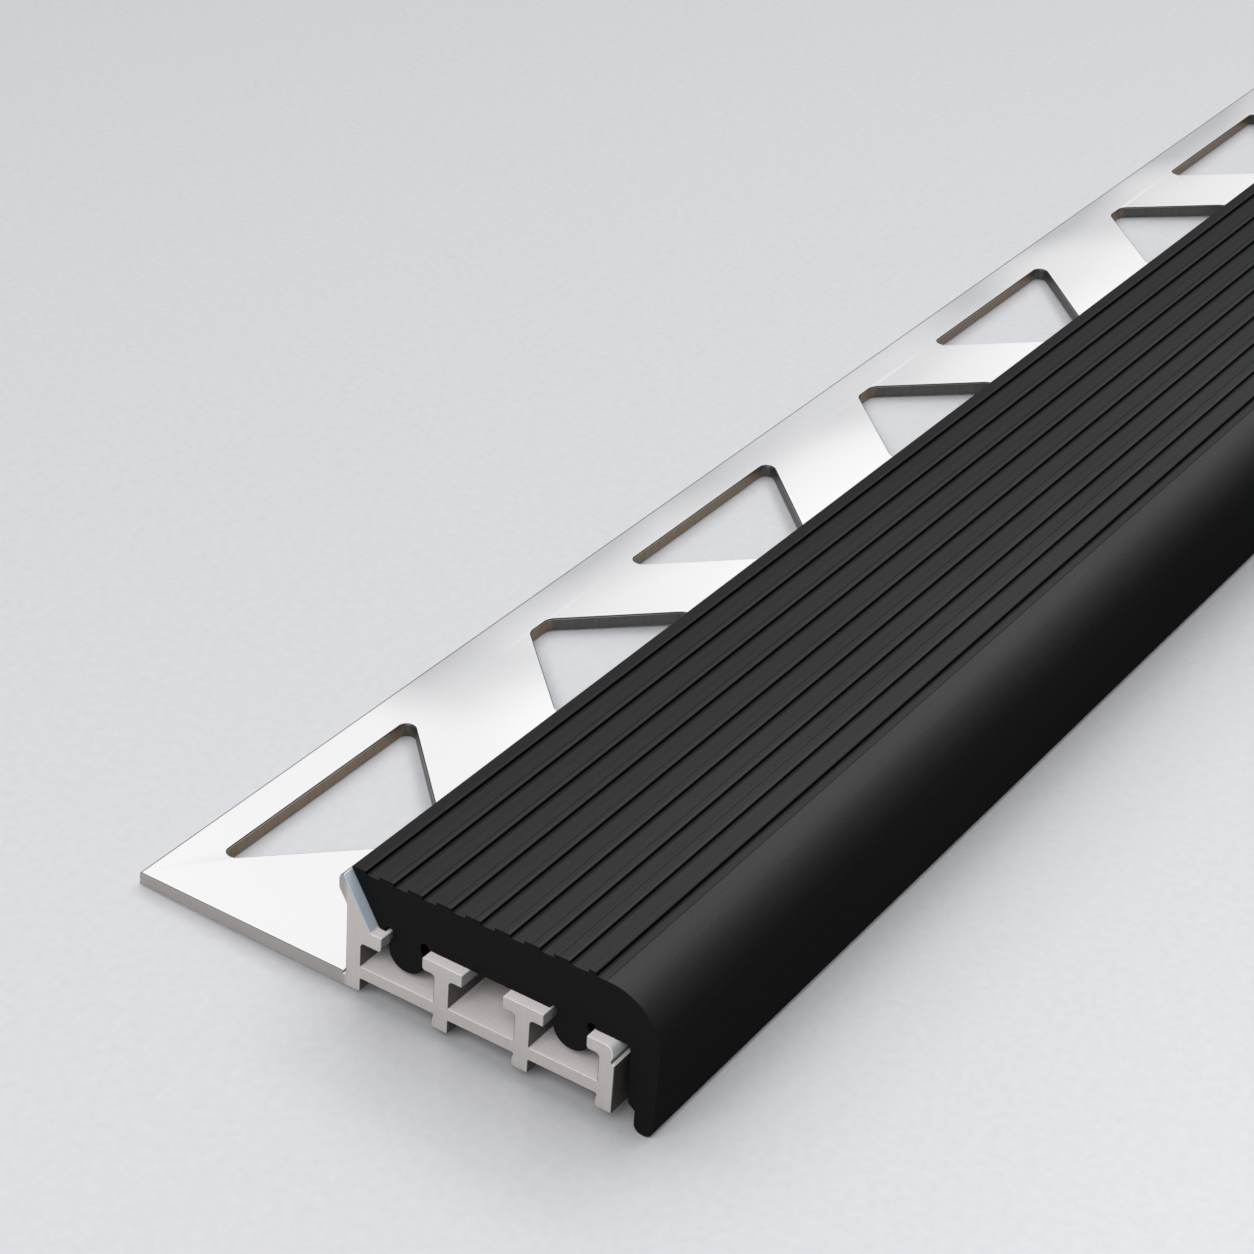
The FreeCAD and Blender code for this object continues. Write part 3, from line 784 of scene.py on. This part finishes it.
# %% [markdown]
# ## Rubber
#
# The tread is solid black rubber. Faces that look up are a little grey and shine faintly,
# while the front and the fresh cut are near black. The grey is partly bloom and dust and
# partly painted light: it follows the way a face points, so it fades round the nose into
# painted shade on the front. It is also darker towards the lip. The nose is smoother than
# the ribs, and its lighter colour is a painted sheen. The die leaves faint lines along the
# rubber as well, and the whole skin has a fine grain.
#
# The ribs repeat, so one sawtooth along Y tells where a point lies in its rib. It paints a
# shadow into the corner of each groove and a highlight onto the rib edge that faces the nose.

# %% Make the two looks of the rubber
SAWTOOTH_START = 0.93
GROOVE_SHADOW_SPAN, EDGE_HIGHLIGHT_SPAN = (0.085, 0.15), (0.89, 0.94)
RIBS_START, LAST_CORNER, LAST_CORNER_HALF = (-0.01754, -0.01744), -0.01772, 0.00012
LIP_SIDE_RAMP, NOSE_START, HEEL_START = (0.0038, -0.0175), (-0.01847, -0.01857), (0.0022, 0.0027)


def painted_rib_light(tree, across):
    """A factor for the painted shadow in the groove corners and the painted highlight on rib edges.

    A sawtooth goes from 0 to 1 over each rib and its groove, from the lip to the nose. The
    last groove is wider, so its painted shadow is set by itself.
    """
    start = (SHIFT_BACK - SAWTOOTH_START) / RIB_PITCH
    step = calc(tree, "FRACT", calc(tree, "MULTIPLY_ADD", across, -1 / (RIB_PITCH * MM), start))
    # Painted shadow in the groove corners and painted highlight on the rib edges.
    corner = ramp(tree, step, *GROOVE_SHADOW_SPAN, 0.5, 1.0)
    edge_highlight = ramp(tree, step, *EDGE_HIGHLIGHT_SPAN, 1.0, 1.35)
    regular = between(tree, ramp(tree, across, *RIBS_START), 1.0, product(tree, corner, edge_highlight))
    last = calc(tree, "COMPARE", across, LAST_CORNER, LAST_CORNER_HALF)
    return product(tree, regular, blend(tree, last, 1.0, 0.5))


def rubber_skin():
    material, tree, place = new_material("rubber skin")
    across = axes_of(tree, place)["Y"]
    upward = calc(tree, "MAXIMUM", axes_of(tree, facing_of(tree))["Z"], 0.0)
    upward = calc(tree, "POWER", upward, 4.0)
    speckle = use(tree, grain, place, Per_metre=7000.0)
    lines = use(tree, drawn_lines, place, Along=10.0, Across=2600.0)
    clouds = use(tree, handling_and_sheen, place, Along=30.0, Across=80.0)
    # The grey is partly bloom and dust and partly painted light: faces that look up are lighter,
    # and upright faces are painted darker as painted shade.
    bloom_and_painted_light = product(
        tree,
        blend(tree, upward, 0.24, 1.0),
        # Darker towards the lip.
        ramp(tree, across, *LIP_SIDE_RAMP, 0.68, 1.0),
        # Painted sheen: the nose is lighter than the ribs.
        ramp(tree, across, *NOSE_START, 1.0, 1.45),
        ramp(tree, across, *HEEL_START, 1.0, 0.8),
        painted_rib_light(tree, across),
        blend(tree, clouds, 0.96, 1.04),
        blend(tree, speckle, 0.9, 1.1),
        blend(tree, lines, 0.95, 1.05),
    )
    return finished(material, {
        "Base Color": scaled(tree, (0.038, 0.038, 0.0385), bloom_and_painted_light),
        "Roughness": 0.6,
        "Specular IOR Level": 0.0,
        "Coat Weight": blend(tree, upward, 0.0, 0.14),
        "Coat Roughness": 0.4,
        "Normal": bump(tree, calc(tree, "ADD", speckle, lines), 0.004),
    })


def rubber_cut():
    material, tree, place = new_material("rubber cut")
    speckle = use(tree, grain, place, Per_metre=5000.0)
    return finished(material, {
        "Base Color": blend(tree, speckle, (0.0048, 0.0048, 0.0049), (0.0064, 0.0064, 0.0065)),
        "Roughness": blend(tree, speckle, 0.6, 0.7),
        "Specular IOR Level": 0.1,
        "Normal": bump(tree, speckle, 0.004),
    })


rubber_looks = [rubber_skin(), rubber_cut()]
print("looks of the rubber:", [look.name for look in rubber_looks])

# %% [markdown]
# ## The carrier
#
# The long faces are single quads from end to end, except the leg's two wide faces. Those
# are left out of the grid and filled round the holes instead.

# %% Build the carrier
END_BREAK = 0.06
WIDE_FACE = 15
DRAWN, INSIDE_LOOK, SAWN, PUNCHED = range(4)


def carrier_parts():
    """Points and faces of the long sides, the leg's faces, the ends and the holes."""
    points, rings, end_loop = extrusion(carrier_outline, HALF_LENGTH, END_BREAK)
    faces = grid_faces(rings, len(carrier_outline))
    length = np.abs(np.roll(carrier_outline, -1, 0) - carrier_outline)[:, 0]
    wide = np.flatnonzero(length > WIDE_FACE)
    keep = np.ones(faces.shape[:2], bool)
    keep[rings // 2 - 1, wide] = False
    middle = (carrier_outline + np.roll(carrier_outline, -1, 0)) / 2
    outside = np.tile(middle[:, 0] < LIP_EDGE, (len(keep), 1))
    parts = [(points, faces[keep & outside], DRAWN), (points, faces[keep & ~outside], INSIDE_LOOK)]
    reach = HALF_LENGTH - END_BREAK
    for start in wide:
        (near, level), (far, _) = carrier_outline[[start, (start + 1) % len(carrier_outline)]]
        on_top = level > LEG_THICKNESS / 2
        frame_loop = np.array([(-reach, near), (reach, near), (reach, far), (-reach, far)])
        loops = holes[:, 0 if on_top else -1]
        flat, triangles = filled([frame_loop, *loops])
        parts.append((in_row(flat[:, 0], flat[:, 1], level), triangles, DRAWN))
    flat, triangles = filled([end_loop])
    for x in (-HALF_LENGTH, HALF_LENGTH):
        parts.append((in_row(x, flat[:, 0], flat[:, 1]), triangles, SAWN))
    points = in_row(holes[..., 0], holes[..., 1], hole_heights[None, :, None])
    around, deep = holes.shape[2], holes.shape[1]
    walls = np.stack([grid_faces(deep, around, n * deep * around) for n in range(len(holes))])
    parts.append((points, walls[:, :roll_rings - 1].reshape(-1, 4), DRAWN))
    parts.append((points, walls[:, roll_rings - 1:].reshape(-1, 4), PUNCHED))
    return parts


carrier = closed_piece("aluminium_carrier", carrier_parts(), aluminium_looks)
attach(carrier, "root")
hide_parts("carrier_profile")

# %% [markdown]
# ## The tread
#
# The rubber is made the same way, a little shorter than the carrier at both ends, as it
# shrinks back after it is cut.

# %% Build the tread
SETBACK = 0.92
CUT_BREAK = 0.04
SKIN, CUT = range(2)


def tread_parts():
    """Points and faces of the long sides and of the two cut ends."""
    reach = HALF_LENGTH - SETBACK
    points, rings, end_loop = extrusion(tread_outline, reach, CUT_BREAK)
    flat, triangles = filled([end_loop])
    ends = [(in_row(x, flat[:, 0], flat[:, 1]), triangles, CUT) for x in (-reach, reach)]
    return [(points, grid_faces(rings, len(tread_outline)).reshape(-1, 4), SKIN)] + ends


tread = closed_piece("rubber_tread", tread_parts(), rubber_looks)
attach(tread, "root")
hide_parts("tread_insert")

# %% [markdown]
# ## Floor, lamps and surroundings
#
# The floor is plain, pale and matt; its colour is a little lighter on the nose side, as
# painted light. The tip of the flap is the part's lowest point, so on a level floor the
# part tips back until the edge of its leg touches down as well. The frame holds the part
# level, so here it is the floor that leans by those two degrees. It is the line that
# touches two circles, the rounds of the tip and of the leg's edge. A hair of air keeps
# the floor's face off the part's.
#
# Three large soft lamps hang above the nose, the leg and the length. With the pale
# surroundings they light the floor almost evenly, so that the shadow is soft and stays
# close to the part. Two lamps stand beyond the far end, where the leg's satin top mirrors
# them towards the camera. The last one stands before the cut end and reaches into the
# channels.

# %% Lay the floor
FLOOR_HALF = 5.0
FLOOR_GAP = 0.02
TONE_CHANGE = (-0.06, 0.17)


def resting_plane(tip, tip_round, heel, heel_round):
    """Lean and height at Y = 0 of the line that touches two circles from below.

    The centres lie c apart on a line that rises by b. The two radii differ by d, so the
    line under both rises by b + asin(d / c).
    """
    run, rise = heel[0] - tip[0], heel[1] - tip[1]
    lean = math.atan2(rise, run) + math.asin((tip_round - heel_round) / math.hypot(run, rise))
    return lean, tip[1] - tip[0] * math.tan(lean) - tip_round / math.cos(lean)


def pale_floor():
    material, tree, place = new_material("pale floor")
    speckle = use(tree, grain, place, Per_metre=1200.0)
    # Painted light: the floor's colour is lighter on the nose side and darker towards the leg side.
    far = ramp(tree, axes_of(tree, place)["Y"], *TONE_CHANGE)
    tone = blend(tree, far, (0.711, 0.714, 0.739), (0.568, 0.571, 0.589))
    return finished(material, {
        "Base Color": scaled(tree, tone, blend(tree, speckle, 0.975, 1.025)),
        "Roughness": 0.3,
        "Specular IOR Level": 0.3,
    })


floor_mesh = bpy.data.meshes.new("floor")
floor_corners = FLOOR_HALF * np.array([(-1, -1, 0), (1, -1, 0), (1, 1, 0), (-1, 1, 0)])
floor_mesh.from_pydata(floor_corners.tolist(), [], [(0, 1, 2, 3)])
floor_mesh.materials.append(pale_floor())
floor = bpy.data.objects.new("floor", floor_mesh)
lean, level = resting_plane(
    (SHIFT_BACK - FLAP_BACK - TIP_ROUND, TIP_ROUND), TIP_ROUND,
    (SHIFT_BACK + LEG_WIDTH - BREAK, NOSE_DROP + BREAK), BREAK,
)
floor.rotation_euler.x = lean
floor.location.z = MM * (level - FLOOR_GAP)
bpy.context.scene.collection.objects.link(floor)
print("the floor leans by", round(math.degrees(lean), 2), "degrees")

# %% Place the lamps and set the surroundings
NEAR_END = (-0.45, 0.0, 0.0)
LAMPS = {
    "above the nose": ((0.3, -0.9, 1.95), 1.6, 1.6, 0.6),
    "above the leg": ((-0.2, 1.2, 1.9), 1.6, 1.6, 1.5),
    "above the length": ((0.75, -0.2, 1.95), 1.6, 1.2, 1.35),
    "beyond": ((1.34, 1.09, 1.36), 2.2, 1.4, 0.7),
    "beyond high": ((1.32, -0.05, 1.77), 1.0, 0.6, 2.7),
    "before the cut end": ((-1.19, -0.08, 0.74), 1.0, 0.5, 3.5),
}


def soft_lamp(name, place, width, height, radiance):
    """A rectangular lamp that looks at the near end.

    Its power is radiance times area times pi.
    """
    data = bpy.data.lights.new(name, "AREA")
    data.shape, data.size, data.size_y = "RECTANGLE", width, height
    data.energy = radiance * width * height * math.pi
    lamp = bpy.data.objects.new(name, data)
    lamp.location = place
    lamp.rotation_euler = (Vector(NEAR_END) - Vector(place)).to_track_quat("-Z", "Y").to_euler()
    bpy.context.scene.collection.objects.link(lamp)


for name, (place, width, height, radiance) in LAMPS.items():
    soft_lamp(name, place, width, height, radiance)
world = bpy.data.worlds.new("studio")
world.use_nodes = True
surroundings = {"Color": (0.95, 0.97, 1.0, 1.0), "Strength": 0.3}
fill(world.node_tree, world.node_tree.nodes["Background"], surroundings)
bpy.context.scene.world = world
print("lamps:", list(LAMPS))

# %% [markdown]
# ## Close the scene
#
# The colours are shown as they are.

# %% Finish
bpy.context.scene.view_settings.view_transform = "Standard"
